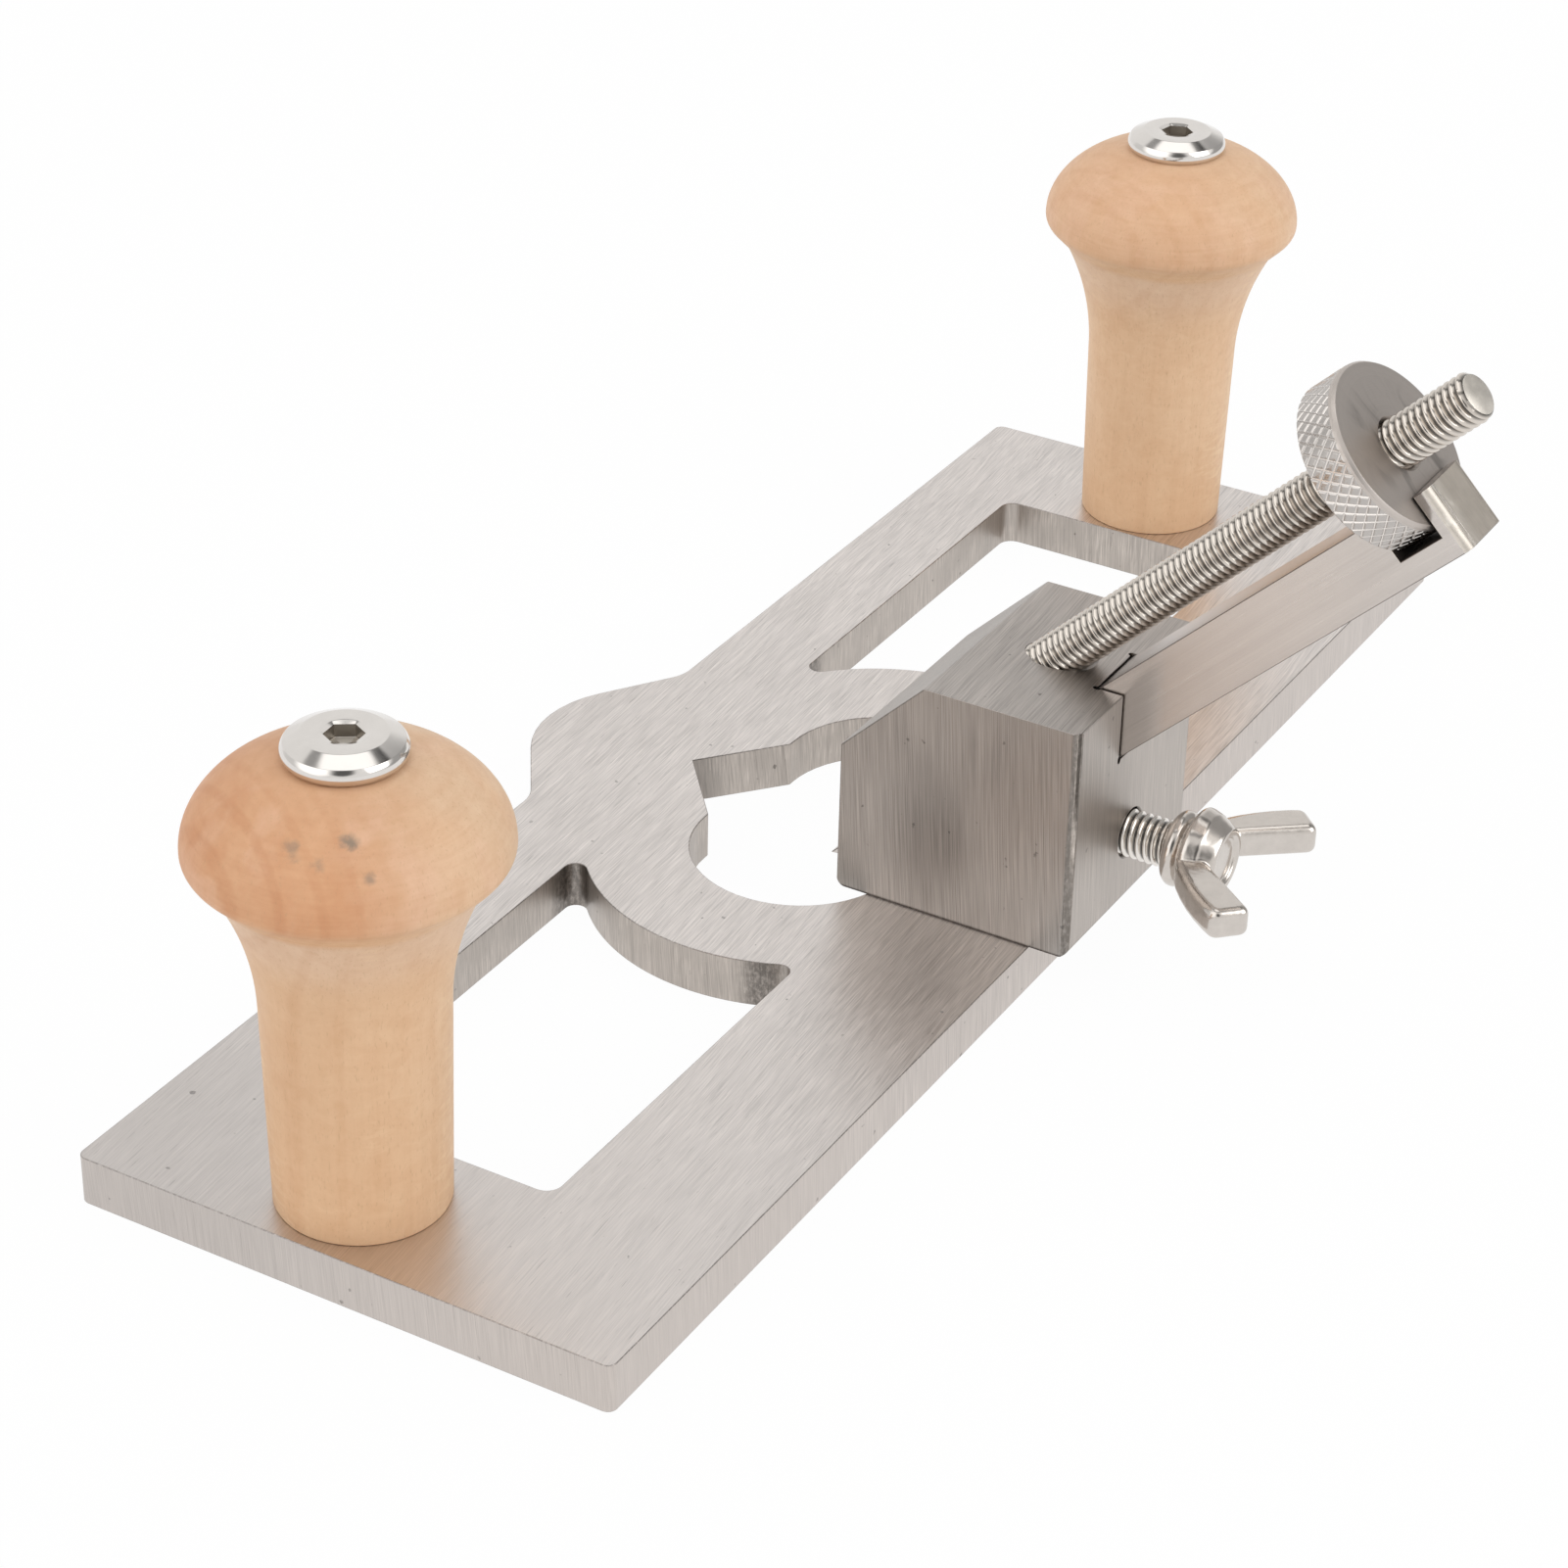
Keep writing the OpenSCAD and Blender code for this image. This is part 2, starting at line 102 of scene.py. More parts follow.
# frames of the part's source: each turns points in millimetres into the tool's frame
def on_bar(p):
    t = math.radians(90 - bar_angle)
    c, s = math.cos(t), math.sin(t)
    return np.c_[p[:, 0], -bar_back + p[:, 1] * c - p[:, 2] * s - centre_y, p[:, 1] * s + p[:, 2] * c]


def on_screw(p):
    return on_bar(p + [0, screw_rise, 0])


def on_clamp(p):
    return np.c_[p[:, 0], -p[:, 2] - centre_y, p[:, 1] + clamp_z]


def at_handle(side):
    return lambda p: p + [side * handle_x, handle_y - centre_y, plate_t]


def bar_point(p):
    """A point of the bar's frame, turned into the directions that Look.to_bar gives, in metres."""
    x, y, z = on_bar(np.array([p], float))[0] * MM
    t = math.radians(bar_angle - 90)
    return x, y * math.cos(t) - z * math.sin(t), y * math.sin(t) + z * math.cos(t)


# mesh helpers
def arc(cx, cz, r, a0, a1, n):
    """Points of an arc round (cx, cz), from a0 to a1 degrees in n steps."""
    angles = [a0 + (a1 - a0) * i / n for i in range(n + 1)]
    return [(cx + r * deg(math.cos, a), cz + r * deg(math.sin, a)) for a in angles]


def corner(a, b, c, r, n):
    """The corner at b of the line a, b, c, rounded by r in n steps."""
    a, b, c = (np.array(p, float) for p in (a, b, c))
    u, v = (a - b) / np.linalg.norm(a - b), (c - b) / np.linalg.norm(c - b)
    half = math.acos(float(u @ v)) / 2
    o = b + (u + v) / np.linalg.norm(u + v) * r / math.sin(half)
    p, q = b + u * r / math.tan(half) - o, b + v * r / math.tan(half) - o
    a0 = math.degrees(math.atan2(p[1], p[0]))
    d = (math.degrees(math.atan2(q[1], q[0])) - a0 + 180) % 360 - 180
    return arc(o[0], o[1], r, a0, a0 + d, n)


def circle(radius, z, n):
    """n points round Z at a height. The radius is one number, or one for each point."""
    a = 2 * math.pi * np.arange(n) / n
    rad = np.broadcast_to(radius, (n,))
    return np.c_[rad * np.cos(a), rad * np.sin(a), np.full(n, z)]


def band(low, high, n):
    """The faces between two rings of n vertices, given by their first ones."""
    return [[low + i, low + (i + 1) % n, high + (i + 1) % n, high + i] for i in range(n)]


def lathe(profile, n, loop=False):
    """Rings of n points round Z; a point on the axis becomes one vertex."""
    verts, rings, faces = [], [], []
    for r, z in profile:
        if r < 1e-9:
            rings.append([len(verts)] * n)
            verts.append((0, 0, z))
        else:
            rings.append(list(range(len(verts), len(verts) + n)))
            for i in range(n):
                a = 2 * math.pi * i / n
                verts.append((r * math.cos(a), r * math.sin(a), z))
    pairs = list(zip(rings, rings[1:])) + ([(rings[-1], rings[0])] if loop else [])
    for low, high in pairs:
        for i in range(n):
            j = (i + 1) % n
            face = []
            for v in (low[i], low[j], high[j], high[i]):
                if v not in face:
                    face.append(v)
            if len(face) > 2:
                faces.append(face)
    return np.array(verts, float), faces


def thread(r, z0, z1):
    """A right-hand screw thread round Z from z0 to z1, with crests at radius r and chamfered ends."""
    # one turn's section: parts of the pitch up the axis, and parts of the depth below the crest
    rows = [(-0.26, 0.46), (-0.13, 0.11), (0, 0), (0.13, 0.11),
            (0.26, 0.46), (0.41, 0.9), (0.5, 1), (0.59, 0.9)]
    n, m = 48, len(rows)
    end_r, end_slope = r - thread_deep - 0.02, 1.1
    turns = int((z1 - z0) / pitch) + 3
    total = turns * m
    verts = np.zeros((total * n, 3))
    a = 2 * math.pi * np.arange(n) / n
    for k in range(total):
        at, low = rows[k % m]
        z = z0 + pitch * (k // m - 1.5 + at) + pitch * np.arange(n) / n
        z = np.clip(z, z0, z1)
        rr = np.full(n, r - thread_deep * low)
        rr = np.minimum(rr, end_r + (z1 - z) * end_slope)
        rr = np.minimum(rr, end_r + (z - z0) * end_slope)
        verts[k * n:(k + 1) * n] = np.c_[rr * np.cos(a), rr * np.sin(a), z]
    faces = []
    for k in range(total - 1):
        for i in range(n):
            if i < n - 1:
                faces.append([k * n + i, k * n + i + 1, (k + 1) * n + i + 1, (k + 1) * n + i])
            elif k + m + 1 < total:
                faces.append([k * n + i, (k + m) * n, (k + m + 1) * n, (k + 1) * n + i])
    return verts, faces


def tidy(bm):
    bmesh.ops.remove_doubles(bm, verts=bm.verts, dist=join_gap)
    bmesh.ops.dissolve_degenerate(bm, edges=bm.edges, dist=join_gap)


def stand_in(name, me, sharp, body, node):
    """A smooth-shaded object for a mesh, which stands for a CAD node and rides on its body."""
    me.shade_smooth()
    me.set_sharp_from_angle(angle=math.radians(sharp))
    ob = bpy.data.objects.new(name, me)
    bpy.context.scene.collection.objects.link(ob)
    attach(ob, body)
    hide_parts(node)
    return ob


def piece(name, verts, faces, place, mats, body, node, sharp, caps=False, face_mats=None):
    """A piece from points in millimetres, put in place, with its open ends closed by caps."""
    me = bpy.data.meshes.new(name)
    me.from_pydata([tuple(v) for v in place(np.asarray(verts, float)) * MM], [], faces)
    for m in mats:
        me.materials.append(m)
    if face_mats is not None:
        me.polygons.foreach_set("material_index", face_mats)
    bm = bmesh.new()
    bm.from_mesh(me)
    tidy(bm)
    if caps:
        bmesh.ops.holes_fill(bm, edges=[e for e in bm.edges if e.is_boundary], sides=0)
    bmesh.ops.recalc_face_normals(bm, faces=bm.faces)
    bm.to_mesh(me)
    bm.free()
    return stand_in(name, me, sharp, body, node)


def bevel(bm, edges, offset, segments):
    bmesh.ops.bevel(bm, geom=edges, offset=offset, segments=segments, profile=0.5, affect="EDGES",
                    clamp_overlap=False)


def eased(name, node, mat, body, width, shortest, softer=None):
    """A copy of a CAD node's mesh with its convex edges eased by width where they are longer than shortest,
    and by half a millimetre where they run square to X between points for which softer holds."""
    flat_angle, edge_angle, soft_width = 0.4, 30, 0.5
    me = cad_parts[node].data.copy()
    me.name = name
    me.materials.clear()
    me.materials.append(mat)
    bm = bmesh.new()
    bm.from_mesh(me)
    bmesh.ops.remove_doubles(bm, verts=bm.verts, dist=cad_join_gap)
    bmesh.ops.dissolve_limit(bm, angle_limit=math.radians(flat_angle), verts=bm.verts, edges=bm.edges)
    for f in bm.faces:
        f.material_index = 0
    bm.normal_update()
    if softer:
        edges = [e for e in bm.edges if e.is_convex and all(softer(v.co) for v in e.verts)
                 and abs(e.verts[0].co.x - e.verts[1].co.x) < 0.1 * MM]
        bevel(bm, edges, soft_width * MM, 5)
        bm.normal_update()
    edges = [e for e in bm.edges if len(e.link_faces) == 2 and e.is_convex
             and e.calc_face_angle(0) > math.radians(edge_angle) and e.calc_length() > shortest * MM]
    bevel(bm, edges, width * MM, 2)
    tidy(bm)
    bm.normal_update()
    bm.to_mesh(me)
    bm.free()
    ob = stand_in(name, me, 50, body, node)
    even = ob.modifiers.new("even_normals", "WEIGHTED_NORMAL")
    even.keep_sharp = True


# material helpers
class Nodes:
    """A node tree with short calls for what the materials and the sky share."""

    def __init__(self, tree):
        self.tree = tree

    def new(self, kind, **props):
        node = self.tree.nodes.new(kind)
        for key, value in props.items():
            setattr(node, key, value)
        return node

    def put(self, socket, value):
        if isinstance(value, bpy.types.NodeSocket):
            self.tree.links.new(value, socket)
        else:
            socket.default_value = value

    def math(self, op, a, b=0.0):
        node = self.new("ShaderNodeMath", operation=op)
        self.put(node.inputs[0], a)
        self.put(node.inputs[1], b)
        return node.outputs[0]

    def plus(self, total, *others):
        for value in others:
            total = self.math("ADD", total, value)
        return total

    def minus(self, a, b):
        return self.math("SUBTRACT", a, b)

    def times(self, total, *others):
        for value in others:
            total = self.math("MULTIPLY", total, value)
        return total

    def size(self, value):
        return self.math("ABSOLUTE", value)

    def swing(self, value, amount):
        """A value that lies round a half, turned into a swing of that amount round nothing."""
        return self.times(self.minus(value, 0.5), amount)

    def vec(self, op, a, b=(0, 0, 0)):
        node = self.new("ShaderNodeVectorMath", operation=op)
        self.put(node.inputs[0], a)
        self.put(node.inputs[1], b)
        return node.outputs["Value"] if op in ("LENGTH", "DOT_PRODUCT", "DISTANCE") else node.outputs[0]

    def stretch(self, v, by):
        return self.vec("MULTIPLY", v, by)

    def split(self, v):
        node = self.new("ShaderNodeSeparateXYZ")
        self.put(node.inputs[0], v)
        return node.outputs

    def join(self, *parts):
        node = self.new("ShaderNodeCombineXYZ")
        for socket, value in zip(node.inputs, parts):
            self.put(socket, value)
        return node.outputs[0]

    def spin(self, v, axis, degrees):
        node = self.new("ShaderNodeVectorRotate", rotation_type=axis)
        self.put(node.inputs["Vector"], v)
        node.inputs["Angle"].default_value = math.radians(degrees)
        return node.outputs[0]

    def span(self, v, a, b, c=0.0, d=1.0):
        """c below a, d above b, and a smooth step between them."""
        node = self.new("ShaderNodeMapRange", interpolation_type="SMOOTHSTEP")
        self.put(node.inputs["Value"], v)
        for key, value in zip(("From Min", "From Max", "To Min", "To Max"), (a, b, c, d)):
            self.put(node.inputs[key], value)
        return node.outputs["Result"]


class Look(Nodes):
    """A material on the principled shader, in the tool's own coordinates."""

    def __init__(self, name):
        self.mat = bpy.data.materials.new(name)
        self.mat.use_nodes = True
        super().__init__(self.mat.node_tree)
        self.bsdf = self.tree.nodes["Principled BSDF"]
        self.coord = self.new("ShaderNodeTexCoord").outputs["Object"]

    def set(self, name, value):
        self.put(self.bsdf.inputs[name], value)

    def to_bar(self, v):
        """v in the bar's own directions: X as before, Y out of its upper face, Z up its length."""
        return self.spin(v, "X_AXIS", bar_angle - 90)

    def noise(self, v, scale, detail, rough, distortion=0.0):
        node = self.new("ShaderNodeTexNoise")
        self.put(node.inputs["Vector"], v)
        node.inputs["Scale"].default_value = scale
        node.inputs["Detail"].default_value = detail
        node.inputs["Roughness"].default_value = rough
        node.inputs["Distortion"].default_value = distortion
        return node.outputs["Fac"]

    def cloud(self, v, scale):
        node = self.new("ShaderNodeTexNoise")
        self.put(node.inputs["Vector"], v)
        node.inputs["Scale"].default_value = scale
        node.inputs["Detail"].default_value = 1.0
        return node.outputs["Color"]

    def mix(self, f, a, b, kind="MIX"):
        node = self.new("ShaderNodeMix", data_type="RGBA", blend_type=kind)
        self.put(node.inputs[0], f)
        for socket, value in ((node.inputs[6], a), (node.inputs[7], b)):
            self.put(socket, value if isinstance(value, bpy.types.NodeSocket) else (*value, 1))
        return node.outputs[2]

    def mix_vec(self, f, a, b):
        node = self.new("ShaderNodeMix", data_type="VECTOR")
        self.put(node.inputs[0], f)
        self.put(node.inputs[4], a)
        self.put(node.inputs[5], b)
        return node.outputs[1]

    def bump(self, height, strength, distance):
        node = self.new("ShaderNodeBump")
        node.inputs["Strength"].default_value = strength
        node.inputs["Distance"].default_value = distance
        self.put(node.inputs["Height"], height)
        self.set("Normal", node.outputs["Normal"])

    def normal(self):
        return self.new("ShaderNodeNewGeometry").outputs["True Normal"]

    def facing(self, axis):
        """How far a face looks along an axis, from 0 to 1, whichever way round."""
        return self.size(self.split(self.normal())[axis])

    def metal(self, base, tone, rough):
        """Bare metal of a base colour, lightened and darkened by a tone that lies round 1."""
        self.set("Base Color", self.mix(1.0, base, self.join(tone, tone, tone), "MULTIPLY"))
        self.set("Metallic", 1.0)
        self.set("Roughness", rough)


def scaled(base, f):
    return tuple(min(1.0, c * f) for c in base)


def drawn_grain(k, level, fine, long):
    """Coordinates that draw a noise out: along X on level faces, upright on standing ones, a little askew."""
    # the grain wanders by up to a millimetre
    sway = k.vec("SCALE", k.vec("SUBTRACT", k.cloud(k.coord, 17.0), (0.5, 0.5, 0.5)))
    sway.node.inputs["Scale"].default_value = 0.002
    at = k.vec("ADD", k.coord, sway)
    flat = k.stretch(k.spin(at, "Z_AXIS", -grain_lean), (long, fine, fine))
    across = k.stretch(k.spin(at, "X_AXIS", grain_lean), (0.0, fine, long * 0.8))
    beside = k.stretch(k.spin(at, "Y_AXIS", grain_lean), (fine, 0.0, long * 0.8))
    stood = k.mix_vec(k.span(k.facing("X"), 0.6, 0.8), beside, across)
    return k.mix_vec(level, stood, flat)


def block_marks(k, face, end, edge, foot, where, stand, coarse):
    """The block's marks: browner ends painted darker as shade, with a painted dark reflection; painted shade
    on the upright chamfers, mottled; and a dark line of painted shade at its foot.
    """
    # painted shade: the ends darker than the other faces, most towards their foot
    tint = k.mix(k.span(where["Z"], 0.012, 0.036), (0.440, 0.412, 0.388), end)
    # a painted dark reflection near the middle of the ends
    reflection_at = (0, (end_reflection_patch[0] - centre_y) * MM, end_reflection_patch[1] * MM)
    gap = k.vec("LENGTH", k.stretch(k.vec("SUBTRACT", k.coord, reflection_at), (0, 1.25, 0.8)))
    tint = k.mix(k.span(gap, 0.001, 0.014, 0.58, 0.0), tint, scaled(end, 0.5))
    face = k.mix(k.span(k.facing("X"), 0.6, 0.85), face, tint)
    # painted shade on the upright chamfers, mottled
    skew = k.times(k.facing("X"), k.facing("Y"))
    tint_mask = k.times(k.span(skew, 0.08, 0.25), k.span(coarse, 0.3, 0.6, 0.55, 1.0))
    face = k.mix(k.times(tint_mask, stand), face, edge)
    # painted shade: a dark line along the foot, where the block meets the plate, mottled
    low = k.span(where["Z"], (plate_t + 0.1) * MM, (plate_t + 0.5) * MM, 0.9, 0.0)
    return k.mix(k.times(low, k.span(coarse, 0.2, 0.55, 0.6, 1.0)), face, foot)


def plate_marks(k, face, top, wall, where, stand, coarse):
    """The plate's marks: a darker front left corner, sawn walls in its openings, and dark nooks in them."""
    gap = k.vec("DISTANCE", k.coord, (-plate_l / 2 * MM, (plate_w / 2 - centre_y) * MM, plate_t * MM))
    face = k.mix(k.span(gap, 0.012, 0.070, 0.34, 0.0), face, scaled(top, 0.62))
    x, y = k.size(where["X"]), k.size(k.minus(where["Y"], (handle_y - centre_y) * MM))
    within = [k.span(v, (limit - 0.2) * MM, (limit + 0.2) * MM, 1.0, 0.0)
              for v, limit in zip((x, y), openings)]
    inner = k.times(*within, stand)
    rows = k.noise(k.stretch(k.coord, (3000, 3000, 160)), 1.0, 3.0, 0.6)
    tint = k.mix(k.span(rows, 0.32, 0.68), scaled(wall, 0.84), scaled(wall, 1.14))
    tint = k.mix(k.span(k.noise(k.coord, 170.0, 2.0, 0.5), 0.35, 0.65), tint, scaled(wall, 0.90))
    tint = k.mix(k.span(coarse, 0.60, 0.76, 0.0, 0.40), tint, scaled(wall, 0.55))
    face = k.mix(inner, face, tint)
    fold = k.join(k.size(where["X"]), where["Y"])
    for x, y in nooks:
        gap = k.vec("DISTANCE", fold, (x * MM, (y - centre_y) * MM, 0))
        dark = k.times(k.span(gap, 0.0010, 0.0052, 1.0, 0.0), k.span(coarse, 0.3, 0.6, 0.35, 1.0), inner)
        face = k.mix(dark, face, scaled(wall, 0.36))
    return face


def brushed(name, top, side, rough, contrast, fine=5400, long=135, depth=0.35, wall=None,
            end=None, edge=None, foot=None):
    """Steel with a drawn grain, and the marks of the plate (wall) or of the block (end, edge and foot,
    colours of painted shade, with a painted dark reflection on the ends).
    """
    k = Look(name)
    level = k.span(k.facing("Z"), 0.55, 0.8)
    stand = k.minus(1.0, level)
    where = k.split(k.coord)
    v = drawn_grain(k, level, fine, long)
    streak = k.noise(v, 1.0, 3.0, 0.6)
    middle = k.noise(k.stretch(v, (0.8, 0.5, 0.5)), 1.0, 2.0, 0.5)
    wide = k.noise(k.stretch(v, (0.16, 0.11, 0.11)), 1.0, 3.0, 0.5)
    dash = k.noise(k.stretch(v, (1.6, 0.8, 0.8)), 1.0, 1.0, 0.4)
    dash = k.span(dash, 0.68, 0.80, 0.0, contrast * 0.8)
    mist = k.noise(k.coord, 30.0, 3.0, 0.5, 0.6)
    speck = k.span(k.noise(k.coord, 620.0, 2.0, 0.4), 0.73, 0.79, 0.0, 0.4)
    coarse = k.noise(k.stretch(k.coord, (1500, 1500, 900)), 1.0, 4.0, 0.7)
    face = k.mix(level, side, top)
    if wall:
        face = plate_marks(k, face, top, wall, where, stand, coarse)
        rim_darkening, misty = k.span(coarse, 0.3, 0.6, 0.25, 0.8), 0.14
    else:
        face = block_marks(k, face, end, edge, foot, where, stand, coarse)
        rim_darkening, misty = 0.25, 0.28
    # the eased edges darker: mottled on the plate, evenly on the block
    rim = k.times(k.span(k.facing("Z"), 0.2, 0.3), k.span(k.facing("Z"), 0.95, 0.975, 1.0, 0.0))
    face = k.mix(k.times(rim, rim_darkening), face, scaled(side, 0.42))
    tone = k.plus(k.swing(streak, contrast * 3.4), k.swing(middle, contrast * 0.9),
                  k.swing(wide, contrast * 0.5), k.swing(mist, misty))
    if wall:
        tone = k.times(tone, k.span(where["X"], -0.125, -0.045, 0.5, 1.0))
    tone = k.minus(k.minus(k.plus(tone, 1.0), speck), dash)
    k.metal(face, tone, k.plus(k.swing(streak, 0.3), rough, k.times(speck, 0.3)))
    k.bump(streak, depth, 0.00006)
    return k.mat


def ground():
    """The bar: fine lines along its length, dull drawn grain across its upper end, painted shade in its
    notch.
    """
    k = Look("bar_ground_steel")
    v = k.to_bar(k.coord)
    facing = k.split(k.to_bar(k.normal()))
    endwise = k.span(k.size(facing["Z"]), 0.08, 0.35)
    upper = k.span(facing["Y"], 0.6, 0.9)
    along, across = k.stretch(v, (3600, 3600, 60)), k.stretch(v, (3600, 260, 3600))
    streak = k.noise(k.mix_vec(endwise, along, across), 1.0, 3.0, 0.55)
    broad = k.noise(k.stretch(v, (520, 520, 9)), 1.0, 3.0, 0.5)
    mist = k.noise(k.coord, 60.0, 3.0, 0.55)
    body = k.mix(upper, (0.615, 0.572, 0.540), (0.62, 0.570, 0.540))
    # the ends, lighter and speckled towards the left
    tint_mask = k.span(k.split(k.coord)["X"], -0.0032, -0.0012, 1.0, 0.0)
    spark = k.span(k.noise(k.stretch(v, (1100, 500, 1100)), 1.0, 2.0, 0.6), 0.50, 0.72)
    tint_mask = k.times(tint_mask, k.plus(k.times(spark, 0.6), 0.4))
    body = k.mix(endwise, body, k.mix(tint_mask, (0.600, 0.547, 0.484), (0.820, 0.772, 0.705)))
    # inside the notch, which the nut fills at every setting: painted shade, near black
    height = k.split(k.vec("SUBTRACT", v, bar_point((0, 0, 0))))["Z"]
    low, high = bar_l - notch_end - nut_t - 2 * nut_play, bar_l - notch_end
    inside = k.times(k.span(height, (low - 0.12) * MM, (low - 0.04) * MM),
                     k.span(height, (high + 0.04) * MM, (high + 0.12) * MM, 1.0, 0.0),
                     k.span(k.math("MAXIMUM", k.size(facing["Z"]), facing["Y"]), 0.5, 0.7))
    body = k.mix(k.times(inside, 0.96), body, (0.080, 0.064, 0.055))
    # the eased long edges, thin brown lines
    tall = k.size(facing["Y"])
    line = k.times(k.span(tall, 0.2, 0.3), k.span(tall, 0.95, 0.975, 1.0, 0.0), k.minus(1.0, endwise))
    body = k.mix(k.times(line, 0.85), body, (0.100, 0.075, 0.062))
    tone = k.plus(k.swing(streak, 0.22), k.swing(broad, 0.22), 1.0, k.swing(mist, 0.16))
    k.metal(body, tone, k.plus(k.swing(streak, 0.12), 0.25, k.times(inside, 0.3), k.times(upper, 0.10),
                               k.times(endwise, 0.24)))
    k.bump(streak, 0.10, 0.00004)
    return k.mat


def turned(name, base, rough):
    """The nut's faces: faint facing rings, and soft smudges round the bore."""
    k = Look(name)
    v = k.to_bar(k.coord)
    flat = k.stretch(k.vec("SUBTRACT", v, bar_point((0, screw_rise, 0))), (1, 1, 0))
    radius = k.vec("LENGTH", flat)
    sway = k.noise(k.stretch(flat, (14, 14, 0)), 1.0, 2.0, 0.5)
    lines = k.noise(k.join(k.times(radius, 5200.0), k.times(sway, 1.5)), 1.0, 3.0, 0.6)
    smudge = k.noise(k.stretch(v, (270, 120, 60)), 1.0, 3.0, 0.5, 0.9)
    dark = k.times(k.span(smudge, 0.46, 0.70, 0.0, 0.44), k.span(radius, 0.0075, 0.0110, 1.0, 0.12))
    tone = k.minus(k.plus(k.swing(lines, 0.14), 1.0), dark)
    k.metal(base, tone, k.plus(k.times(smudge, 0.16), rough))
    k.bump(lines, 0.18, 0.00004)
    return k.mat


def bright(name, base, rough, wave, fine, depth=0.05, groove=None):
    """Polished or plated steel: soft haze and small dents. groove gives another tone below a radius, which is
    painted shade in a thread's roots and a painted highlight in a knurl's grooves: the frame whose axis it
    runs round, the radius, how far below it the tone is full and where it starts, and the tone's factor."""
    k = Look(name)
    haze = k.noise(k.coord, fine, 4.0, 0.6)
    broad = k.noise(k.coord, fine * 0.22, 3.0, 0.5, 0.4)
    if groove:
        axis, radius, low, shallow, deep = groove
        origin = axis(np.array([[0, 0, 0]], float))[0] * MM
        v = k.vec("SUBTRACT", k.coord, tuple(origin))
        v = k.stretch(k.to_bar(v), (1, 1, 0)) if axis is on_screw else k.stretch(v, (1, 0, 1))
        # the painted tone below the radius: shade where its factor is below one, a highlight where it is
        # above
        sunk = k.span(k.vec("LENGTH", v), (radius - low) * MM, (radius - shallow) * MM, 1.0, 0.0)
        base = k.mix(sunk, base, scaled(base, deep))
    tone = k.plus(k.swing(haze, wave * 1.4), 1.0, k.swing(broad, wave))
    k.metal(base, tone, k.plus(k.swing(haze, 0.16), rough))
    k.bump(broad, depth, 0.0004)
    return k.mat


